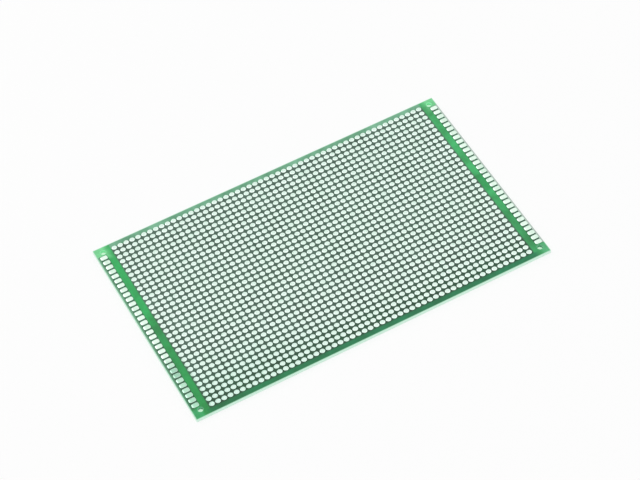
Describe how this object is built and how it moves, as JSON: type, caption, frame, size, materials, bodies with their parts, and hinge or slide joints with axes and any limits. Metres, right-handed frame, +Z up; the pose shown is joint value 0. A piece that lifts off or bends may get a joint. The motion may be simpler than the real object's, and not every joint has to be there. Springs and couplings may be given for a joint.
{
  "type": "bare circuit board",
  "caption": "Rigid double-sided prototyping circuit board: a full grid of plated-through holes with round pads, oblong edge pads at both ends and a plain fixing hole in each corner.",
  "frame": {"origin": "middle of the board's underside, on the plane of the underside pads that the board lies on", "axes": "+X along the long sides, +Y along the short ends, +Z up through the thickness"},
  "size_m": [0.15, 0.09, 0.0016],
  "materials": {
    "laminate": "sawn glass-epoxy laminate, pale and slightly translucent at its edges",
    "solder_mask": "cured green solder mask, smooth and semi-gloss",
    "plating": "hot-tinned copper, bright and slightly domed"
  },
  "bodies": {
    "root": {"laminate": "laminate", "solder_mask_top": "solder_mask", "solder_mask_bottom": "solder_mask", "edge_pads_left_top": "plating", "edge_pads_left_bottom": "plating", "edge_pads_right_top": "plating", "edge_pads_right_bottom": "plating", "plated_row_01": "plating", "plated_row_02": "plating", "plated_row_03": "plating", "plated_row_04": "plating", "plated_row_05": "plating", "plated_row_06": "plating", "plated_row_07": "plating", "plated_row_08": "plating", "plated_row_09": "plating", "plated_row_10": "plating", "plated_row_11": "plating", "plated_row_12": "plating", "plated_row_13": "plating", "plated_row_14": "plating", "plated_row_15": "plating", "plated_row_16": "plating", "plated_row_17": "plating", "plated_row_18": "plating", "plated_row_19": "plating", "plated_row_20": "plating", "plated_row_21": "plating", "plated_row_22": "plating", "plated_row_23": "plating", "plated_row_24": "plating", "plated_row_25": "plating", "plated_row_26": "plating", "plated_row_27": "plating", "plated_row_28": "plating", "plated_row_29": "plating", "plated_row_30": "plating", "plated_row_31": "plating", "plated_row_32": "plating", "plated_row_33": "plating", "plated_row_34": "plating"}
  },
  "joints": []
}
